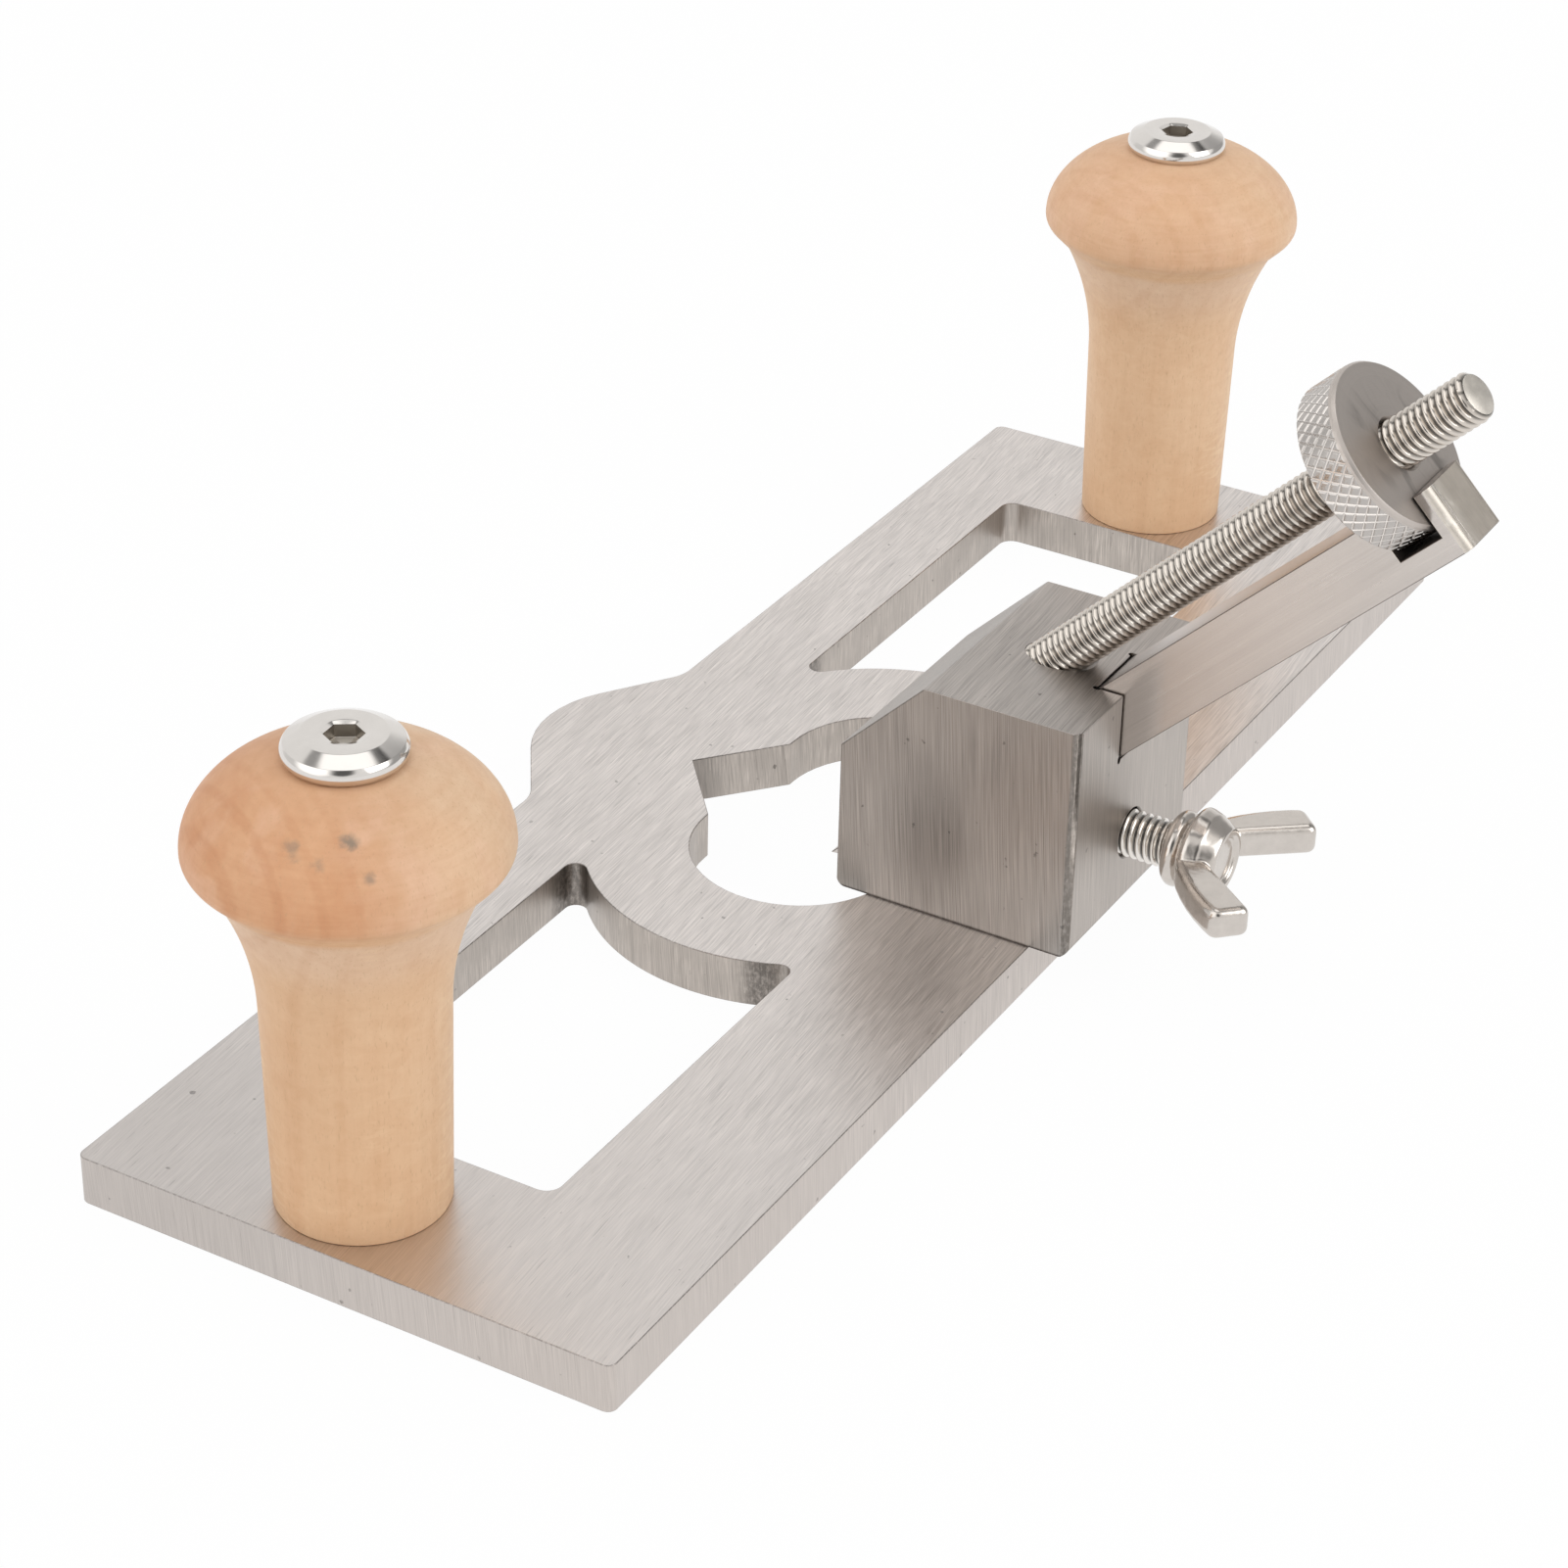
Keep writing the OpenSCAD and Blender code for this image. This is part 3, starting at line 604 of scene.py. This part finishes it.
def wood(name, at, seed, turn, side_shade_and_rings, marks=()):
    """Pale close-grained hardwood, turned with its grain upright: soft rings, flecks and a little figure.
    turn is the direction of the side painted darker and redder as shade; the argument after it sets how much,
    and how deep the rings are. Each of the marks, dirty spots, is a place, a size and a strength."""
    k = Look(name)
    v = k.vec("SUBTRACT", k.coord, tuple(c * MM for c in at))
    w = k.vec("ADD", v, (seed * 0.37, seed * 0.21, seed * 0.11))

    def field(by, *rest):
        return k.noise(k.stretch(w, by), 1.0, *rest)

    height = k.split(v)["Z"]
    z = k.plus(height, k.swing(field((60, 60, 30), 2.0, 0.5), 0.0022))
    high = k.span(z, *head_from)
    warp = field((42, 42, 20), 3.0, 0.55, 0.5)
    cloudy = field((110, 110, 80), 3.0, 0.55, 0.4)
    fibre = field((1100, 1100, 60), 4.0, 0.6)
    mottle = field((300, 300, 420), 4.0, 0.65, 0.6)
    fleck = k.span(field((3400, 3400, 900), 2.0, 0.5), 0.58, 0.74)
    ripple = field((90, 90, 1500), 2.0, 0.5, 0.7)
    curl = k.span(field((300, 300, 1050), 2.0, 0.5, 0.9), 0.40, 0.68)
    curly = k.times(curl, k.span(field((60, 60, 22), 2.0, 0.5), 0.44, 0.60), k.minus(1.0, high))
    # growth rings, plainer on the far side
    facing = k.spin(v, "Z_AXIS", -turn)
    rings = k.new("ShaderNodeTexWave", wave_type="BANDS", bands_direction="X", wave_profile="SIN")
    k.put(rings.inputs["Vector"], k.vec("ADD", k.stretch(facing, (1.0, 0.35, 0.10)), (seed * 0.013, 0, 0)))
    rings.inputs["Scale"].default_value = 70.0
    rings.inputs["Distortion"].default_value = 2.6
    rings.inputs["Detail"].default_value = 2.0
    rings.inputs["Detail Scale"].default_value = 0.55
    side = k.split(facing)["X"]
    near = k.plus(k.times(k.span(side, 0.002, 0.019), 0.75), 0.25)
    ring = k.times(k.span(rings.outputs["Fac"], 0.70, 1.0), near)
    # painted shade: the side towards turn darker and redder, on the stem and the head
    painted_side_shade = k.times(k.span(side, -0.012, 0.014), side_shade_and_rings)
    # the stem, then the head, a painted highlight on its rim, and the pale throat below it
    colour = k.mix(k.span(warp, 0.34, 0.66), (0.786, 0.533, 0.341), (0.746, 0.491, 0.304))
    colour = k.mix(k.times(painted_side_shade, 0.75 * side_shade_and_rings), colour, (0.655, 0.400, 0.228))
    colour = k.mix(k.span(height, 0.002, 0.028, 0.30, 0.0), colour, (0.740, 0.440, 0.240))
    head = k.mix(painted_side_shade, scaled((0.765, 0.527, 0.346), 1.0 - 0.05 * side_shade_and_rings), (0.602, 0.290, 0.145))
    head = k.mix(k.span(warp, 0.42, 0.64, 0.0, 0.45), head, (0.725, 0.435, 0.255))
    head = k.mix(k.span(cloudy, 0.48, 0.66, 0.0, 0.30), head, (0.800, 0.530, 0.375))
    colour = k.mix(high, colour, head)
    # a painted highlight along the rim under the head
    rim = k.times(k.span(z, 0.0514, 0.0525), k.span(z, 0.0535, 0.0568, 1.0, 0.0))
    colour = k.mix(k.times(rim, 0.45), colour, (0.790, 0.530, 0.310))
    throat = k.times(k.span(z, 0.0400, 0.0490), k.span(z, *head_from, 1.0, 0.0))
    colour = k.mix(k.times(throat, 0.50), colour, (0.740, 0.530, 0.390))
    # figure, fibres and pores
    colour = k.mix(k.times(curly, 0.42), colour, (0.880, 0.650, 0.420))
    colour = k.mix(k.times(k.span(fibre, 0.35, 0.7), 0.14), colour, (0.600, 0.365, 0.205))
    colour = k.mix(k.times(fleck, 0.30), colour, (0.480, 0.280, 0.150))
    tone = k.minus(1.03, k.times(ring, 0.04 + 0.06 * side_shade_and_rings))
    tone = k.minus(k.minus(tone, k.swing(mottle, 0.30)), k.swing(cloudy, 0.14))
    tone = k.plus(tone, k.times(k.swing(ripple, 0.18), high))
    # darker wood is also redder
    warmth = k.join(*(k.math("POWER", tone, power) for power in (0.55, 1.0, 1.35)))
    colour = k.mix(1.0, colour, warmth, "MULTIPLY")
    for place, size, strength in marks:
        gap = k.vec("DISTANCE", k.coord, tuple(c * MM for c in place))
        gap = k.plus(gap, k.swing(k.noise(k.coord, 420.0, 4.0, 0.6, 0.8), size * 2.2 * MM))
        colour = k.mix(k.span(gap, 0.0, size * MM, strength, 0.0), colour, (0.205, 0.175, 0.140))
    k.set("Base Color", colour)
    k.set("Roughness", k.plus(k.times(fibre, 0.16), 0.42))
    k.set("Specular IOR Level", 0.35)
    k.bump(k.plus(k.times(fibre, 0.6), k.times(fleck, -0.6)), 0.16, 0.00012)
    return k.mat


plate_look = brushed("plate_brushed_steel", (0.708, 0.665, 0.640), (0.575, 0.523, 0.488), 0.36, 0.29,
                     wall=(0.490, 0.442, 0.402))
# the block's end, edge and foot colours are painted shade
block_look = brushed("block_brushed_steel", (0.455, 0.421, 0.397), (0.474, 0.432, 0.398), 0.40, 0.36,
                     fine=6600, long=85, depth=0.4, end=(0.378, 0.338, 0.308),
                     edge=(0.215, 0.192, 0.172), foot=(0.060, 0.050, 0.044))
bar_look = ground()
nut_look = turned("nut_turned_steel", (0.562, 0.514, 0.478), 0.34)
# the knurl's grooves painted lighter, a painted highlight
knurl_look = bright("nut_knurled_steel", (0.500, 0.472, 0.450), 0.22, 0.10, 900.0,
                    groove=(on_screw, nut_d / 2, 0.22, 0.08, 1.75))
# the thread's roots painted dark, painted shade
thread_look = bright("thread_bright_steel", (0.670, 0.617, 0.560), 0.13, 0.14, 900.0, 0.12,
                     groove=(on_screw, screw_d / 2, thread_deep, 0.20, 0.18))
# the stud thread's roots painted dark, painted shade
stud_look = bright("stud_bright_steel", (0.780, 0.740, 0.695), 0.12, 0.14, 900.0, 0.12,
                   groove=(on_clamp, clamp_d / 2, thread_deep, 0.30, 0.16))
thread_end_look = bright("thread_end_steel", (0.730, 0.690, 0.630), 0.50, 0.30, 520.0)
cast_look = bright("cast_plated_steel", (0.612, 0.568, 0.528), 0.17, 0.16, 620.0, 0.55)
plated_look = bright("plated_steel", (0.740, 0.710, 0.680), 0.12, 0.08, 420.0, 0.10)
dull_look = bright("plated_recess_steel", (0.500, 0.465, 0.420), 0.36, 0.16, 500.0)
sink_look = bright("sunk_screw_steel", (0.300, 0.290, 0.280), 0.38, 0.16, 600.0)
wood_near = wood("handle_wood_left", (-handle_x, handle_y - centre_y, plate_t), 1.0, 150.0, 1.0, left_marks)
wood_far = wood("handle_wood_right", (handle_x, handle_y - centre_y, plate_t), 4.6, 160.0, 0.42)


# plate, block and bar: the CAD shapes with their edges eased
def bar_top_end(co):
    """Whether a point lies on the end face at the bar's upper end."""
    lean = math.radians(bar_angle - 90)
    up = co.y * math.sin(lean) + co.z * math.cos(lean) - bar_point((0, 0, 0))[2]
    return up > (bar_l - 0.05) * MM


eased("plate_eased", "sole_plate", plate_look, "base", 0.14, 0.15)
eased("block_eased", "blade_block", block_look, "base", 0.22, 2.0)
eased("bar_eased", "blade_bar", bar_look, "blade_bar", 0.12, 0.2, softer=bar_top_end)
# the block's screws stay the CAD's own piece, in a darker steel
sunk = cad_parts["block_screws"].data.materials
for m in range(len(sunk)):
    sunk[m] = sink_look

# adjusting screw with its rolled thread and duller end faces
verts, faces = thread(screw_d / 2, screw_foot, bar_l + screw_past)
screw = piece("adjusting_screw_threaded", verts, faces, on_screw, [thread_look, thread_end_look],
              "base", "adjusting_screw", sharp=62, caps=True)
for f in screw.data.polygons:
    if len(f.vertices) > 6:
        f.material_index = 1

# clamp stud: thread with a cone point, up to its seat in the wing head
verts, faces = thread(clamp_d / 2, clamp_tip + 0.001, collar_out + clamp_seat)
rr = np.hypot(verts[:, 0], verts[:, 1])
cone = clamp_cone_r + (verts[:, 2] - clamp_tip)
verts[:, :2] *= np.where(rr > cone, cone / rr, 1.0)[:, None]
piece("clamp_stud_threaded", verts, faces, on_clamp, [stud_look], "clamp_stud", "clamp_stud",
      sharp=62, caps=True)


def knurled_nut():
    """The nut: turned faces, a cut diamond knurl round its rim, and a plain ring beside the knurl."""
    diamonds, per, groove_w = 44, 16, 0.16
    n = diamonds * per
    r, bore, mouth = nut_d / 2, screw_d / 2 + 0.05, 0.5
    step = 2 * math.pi * r / n
    levels = int(round((knurl_to - knurl_from) / (step / deg(math.tan, knurl_lean))))
    i = np.arange(n)

    def groove(u):
        return np.clip(1 - np.abs(u / per - np.round(u / per)) / groove_w, 0, 1)

    # radius, height and whether the band below it is knurled
    rows = [(bore, mouth, 0), (bore + mouth, 0, 0), (r - 0.35, 0, 0)]
    for j in range(levels + 1):
        cut = np.maximum(groove(i + j), groove(i - j))
        rows.append((r - 0.01 - knurl_deep * cut, knurl_from + (knurl_to - knurl_from) * j / levels, 1))
    rows += [(r - 0.04, knurl_to + 0.1, 1), (r - 0.06, nut_t - 0.5, 0), (r - 0.38, nut_t - 0.06, 0),
             (r - 0.46, nut_t, 0), (bore + mouth, nut_t, 0), (bore, nut_t - mouth, 0)]
    verts = np.concatenate([circle(radius, z, n) for radius, z, _ in rows])
    faces, look = [], []
    for k in range(len(rows)):
        above = (k + 1) % len(rows)
        faces += band(k * n, above * n, n)
        look += [rows[above][2]] * n
    return verts, faces, look


verts, faces, look = knurled_nut()
piece("knurled_nut_cut", verts, faces, lambda p: on_screw(p + [0, 0, nut_lo]), [nut_look, knurl_look],
      "knurled_nut", "knurled_nut", sharp=24, face_mats=look)


def handle_profile():
    """The handle's outline from the bolt hole's foot round to its top: stem, flare, head, lip and dome."""
    dome_cut = dome_h * math.sqrt(1 - (disc_d / 2 / head_r) ** 2)
    girth_h = handle_h - dome_cut
    neck_h = girth_h - under_h
    lip_h = neck_h + (head_r - neck_r) / deg(math.tan, under_slant)
    lip_r = 0.98 * (girth_h - lip_h) / deg(math.tan, under_slant / 2)
    flare_r = ((neck_r - stem_r) ** 2 + (neck_h - flare_h) ** 2) / (2 * (neck_r - stem_r))
    end = 180 - math.degrees(math.asin((neck_h - flare_h) / flare_r))
    p = [(bolt_hole_d / 2, 0), (foot_r - 0.35, 0), (foot_r - 0.1, 0.1), (foot_r, 0.35)]
    p += [(foot_r + (stem_r - foot_r) * i / 8, flare_h * i / 8) for i in range(1, 8)]
    p += arc(stem_r + flare_r, flare_h, flare_r, 180, end, 28)
    p += corner((neck_r, neck_h), (head_r, lip_h), (head_r, girth_h), lip_r, 14)
    dome = [math.asin(dome_cut / dome_h) * i / 44 for i in range(1, 45)]
    p += [(head_r * math.cos(a), girth_h + dome_h * math.sin(a)) for a in dome]
    return p + [(bolt_hole_d / 2, handle_h)]


verts, faces = lathe(handle_profile(), 144, loop=True)
for side, word, look in ((-1, "left", wood_near), (1, "right", wood_far)):
    piece(word + "_handle_turned", verts, faces, at_handle(side), [look], "base",
          word + "_handle", sharp=40)


def bolt():
    """A flat-headed bolt: rounded rim, shallow bevel, flat top and a hexagon socket, dull at its bottom."""
    n = 96
    r = disc_d / 2
    foot = bolt_foot - plate_t - handle_h
    p = [(0, foot), (bolt_d / 2 - 0.5, foot), (bolt_d / 2, foot + 0.5), (bolt_d / 2, 0)]
    p += arc(r - rim_low, rim_low, rim_low, -90, 0, 8)
    p += arc(r - rim_bow, rim_low, rim_bow, 2, 90 - lip_slope, 8)
    bevel_z = p[-1][1] + (p[-1][0] - disc_bevel / 2) * deg(math.tan, lip_slope)
    top = bevel_z + (disc_bevel - disc_flat) / 2 * deg(math.tan, disc_slope)
    p += corner(p[-1], (disc_bevel / 2, bevel_z), (disc_flat / 2, top), 0.2, 4)
    p += corner((disc_bevel / 2, bevel_z), (disc_flat / 2, top), (0, top), 0.5, 5)
    # the sunk edge round the socket
    p += [(3.35, top), (3.2, top - 0.04)]
    verts, faces = lathe(p, n)
    look = [0] * len(faces)
    last = len(verts) - n
    a = 2 * math.pi * np.arange(n) / n
    six = socket_af / 2 / np.cos((a + math.pi / 6) % (math.pi / 3) - math.pi / 6)
    floor = top - socket_deep
    for radius, z in ((six, top - 0.25), (six, floor + 0.1), (six * 0.94, floor), (six * 0.3, floor - 0.25)):
        new = len(verts)
        verts = np.vstack([verts, circle(radius, z, n)])
        faces += band(last, new, n)
        look += [0 if z > floor + 1 else 1] * n
        last = new
    faces += [[last + i, last + (i + 1) % n, len(verts)] for i in range(n)]
    look += [1] * n
    return np.vstack([verts, (0, 0, floor - 0.4)]), faces, look


verts, faces, look = bolt()
for side, word, by, lower in ((-1, "left", left_turn, 0.0), (1, "right", right_turn, head_sunk)):
    c, s = deg(math.cos, by), deg(math.sin, by)
    seat = np.where(verts[:, 2] > -0.1, lower, 0.0)
    spun = np.c_[verts[:, 0] * c - verts[:, 1] * s, verts[:, 0] * s + verts[:, 1] * c, verts[:, 2] - seat]
    piece(word + "_bolt_polished", spun + [0, 0, handle_h], faces, at_handle(side), [plated_look, dull_look],
          "base", word + "_handle_bolt", sharp=30, face_mats=look)


def wing(side, longer):
    """One wing as a closed body with well rounded edges: bowed outside, squared tip, root inside the hub."""
    half, out = wing_t / 2 + wing_over, wing_out + longer
    tip = np.array([wing_reach + longer / 2, out - wing_w * deg(math.sin, wing_lean)])
    inner = (wing_reach + longer / 2 - wing_w * deg(math.cos, wing_lean), out)
    root = np.array([hub_d / 2 - 0.9, collar_t + 0.2])
    chord = np.linalg.norm(tip - root)
    along = (tip - root) / chord
    bow_r = ((chord / 2) ** 2 + wing_bow ** 2) / (2 * wing_bow)
    o = (tip + root) / 2 + (bow_r - wing_bow) * np.array([-along[1], along[0]])
    a0, a1 = (math.degrees(math.atan2(*(q - o)[::-1])) for q in (root, tip))
    # the last two points lie inside the hub
    outline = arc(o[0], o[1], bow_r, a0, a1, 6) + [inner, (3.5, 6.2), (3.0, 3.6)]
    bm = bmesh.new()
    low, high = ([bm.verts.new((side * x, y, z)) for x, z in outline] for y in (-half, half))
    n = len(outline)
    for i in range(n):
        bm.faces.new((low[i], low[(i + 1) % n], high[(i + 1) % n], high[i]))
    bm.faces.new(low)
    bm.faces.new(high)
    bmesh.ops.recalc_face_normals(bm, faces=bm.faces)
    bevel(bm, [e for e in bm.edges if e.calc_face_angle(0) > math.radians(35)], wing_round, 6)
    bm.verts.index_update()
    verts, faces = [tuple(v.co) for v in bm.verts], [[v.index for v in f.verts] for f in bm.faces]
    bm.free()
    return verts, faces


def wing_head():
    """The wing head: bead collar, groove, two-step hub, sunk end and two wings, to be grown into one body."""
    bore_r, hub_r, end_r, bead_r = clamp_d / 2 + 0.05, hub_d / 2, hub_end_d / 2, collar_t / 2
    floor = head_l - 0.8
    hub = [(bore_r, 0)]
    hub += arc(collar_d / 2 - bead_r, bead_r, bead_r, -90, 75, 12)
    hub += [(5.15, 2.95), (5.7, 3.15), (hub_r - 0.25, 3.75), (hub_r, 4.15), (hub_r - 0.05, 4.6),
            (6.75, 6.3), (6.5, 6.6), (end_r + 0.05, 8.45), (end_r - 0.25, 8.85), (end_r - 0.7, head_l),
            (end_r - 1.25, 8.9), (end_r - 1.6, 8.6), (end_r - 1.65, floor), (0, floor),
            (0, clamp_seat + 0.1), (bore_r, clamp_seat + 0.1)]
    verts, faces = lathe(hub, 128, loop=True)
    for side, longer in ((1, 0.0), (-1, left_longer)):
        more, wing_faces = wing(side, longer)
        faces += [[v + len(verts) for v in f] for f in wing_faces]
        verts = np.vstack([verts, more])
    return verts, faces


verts, faces = wing_head()
head = piece("wing_head_cast", verts, faces, lambda p: on_clamp(p + [0, 0, collar_out]), [cast_look],
             "wing_head", "wing_head", sharp=40)
# hub and wings grown into one body, and its edges softened like a casting's
grow = head.modifiers.new("grow", "REMESH")
grow.mode = "VOXEL"
grow.voxel_size = 0.15 * MM
grow.use_smooth_shade = True
soft = head.modifiers.new("soft", "SMOOTH")
soft.factor = 0.5
soft.iterations = 12

# camera, solved from the plate's and the block's corners in the photograph
focal, photo_w, sensor_w = 4103.17, 1601.0, 36.0
cam = bpy.data.cameras.new("camera")
eye = bpy.data.objects.new("camera", cam)
bpy.context.scene.collection.objects.link(eye)
cam.sensor_width = sensor_w
cam.lens = focal * sensor_w / photo_w
cam.clip_start = 0.01
cam.clip_end = 50.0
right = Vector((0.50545085, -0.86262604, 0.01989347))
down = Vector((-0.43495498, -0.27463579, -0.85754845))
ahead = Vector((0.74520709, 0.42479583, -0.51401839))
turn = Matrix((right, -down, -ahead)).transposed().to_4x4()
eye_at = Vector((-0.48087, -0.26341484 - centre_y * MM, 0.34045414))
eye.matrix_world = Matrix.Translation(eye_at) @ turn
bpy.context.scene.camera = eye

# floor, seen as white with a trace of the shadow
me = bpy.data.meshes.new("floor")
bm = bmesh.new()
bmesh.ops.create_grid(bm, x_segments=4, y_segments=4, size=3.0)
bm.to_mesh(me)
bm.free()
floor = bpy.data.objects.new("floor", me)
bpy.context.scene.collection.objects.link(floor)
floor.location = (0, 0, -0.0002)
k = Look("floor_white")
k.tree.nodes.remove(k.bsdf)
out = k.tree.nodes["Material Output"]
paper = k.new("ShaderNodeBsdfDiffuse")
paper.inputs["Color"].default_value = (0.86, 0.86, 0.86, 1)
glow = k.new("ShaderNodeEmission")
glow.inputs["Strength"].default_value = 1.0
path = k.new("ShaderNodeLightPath")
seen = k.math("MAXIMUM", path.outputs["Is Glossy Ray"], path.outputs["Is Transmission Ray"])
seen = k.math("MAXIMUM", path.outputs["Is Camera Ray"], seen)
blend = k.new("ShaderNodeMixShader")
k.put(blend.inputs[0], k.times(seen, 0.97))
k.put(blend.inputs[1], paper.outputs[0])
k.put(blend.inputs[2], glow.outputs[0])
k.put(out.inputs["Surface"], blend.outputs[0])
floor.data.materials.append(k.mat)

# studio: a pale dome, bright overhead inside a narrow darker ring, with paler and darker patches round it.
# Each patch has a direction, the degrees to which it is full and at which it ends, and what it adds.
patches = [((0.14, 0.08, 0.987), 30, 34, -0.58), ((0.14, 0.08, 0.987), 18, 24, 1.10),
           ((-0.745, -0.425, 0.514), 10, 25, -0.80), ((-0.34, 0.94, 0.14), 12, 28, -0.15),
           ((0.78, -0.55, 0.40), 24, 46, -0.52), ((-0.92, 0.42, 0.55), 18, 40, 0.68),
           ((0.30, -0.90, 0.50), 8, 22, 0.6)]
world = bpy.data.worlds.new("studio")
bpy.context.scene.world = world
world.use_nodes = True
world.node_tree.nodes.clear()
k = Nodes(world.node_tree)
sky = k.new("ShaderNodeTexCoord").outputs["Generated"]
level = 0.93
for direction, inner, outer, amount in patches:
    towards = k.vec("DOT_PRODUCT", sky, Vector(direction).normalized())
    level = k.plus(level, k.span(towards, deg(math.cos, outer), deg(math.cos, inner), 0.0, amount))
seen = k.new("ShaderNodeLightPath").outputs["Is Camera Ray"]
level = k.plus(k.times(level, k.minus(1.0, seen)), seen)
sheen = k.new("ShaderNodeBackground")
sheen.inputs["Color"].default_value = (1.0, 0.995, 0.985, 1)
k.put(sheen.inputs["Strength"], level)
k.put(k.new("ShaderNodeOutputWorld").inputs["Surface"], sheen.outputs[0])

# key lamp, above the tool and well behind it, to the camera's right
key_at, key_aim = Vector((0.05, -1.50, 0.95)), Vector((0, 0, 0.03))
data = bpy.data.lights.new("key_lamp", "AREA")
data.shape = "SQUARE"
data.size = 1.25
data.energy = 8.0
key = bpy.data.objects.new("key_lamp", data)
bpy.context.scene.collection.objects.link(key)
key.location = key_at
key.rotation_euler = (key_aim - key_at).to_track_quat("-Z", "Y").to_euler()

bpy.context.scene.view_settings.view_transform = "Standard"
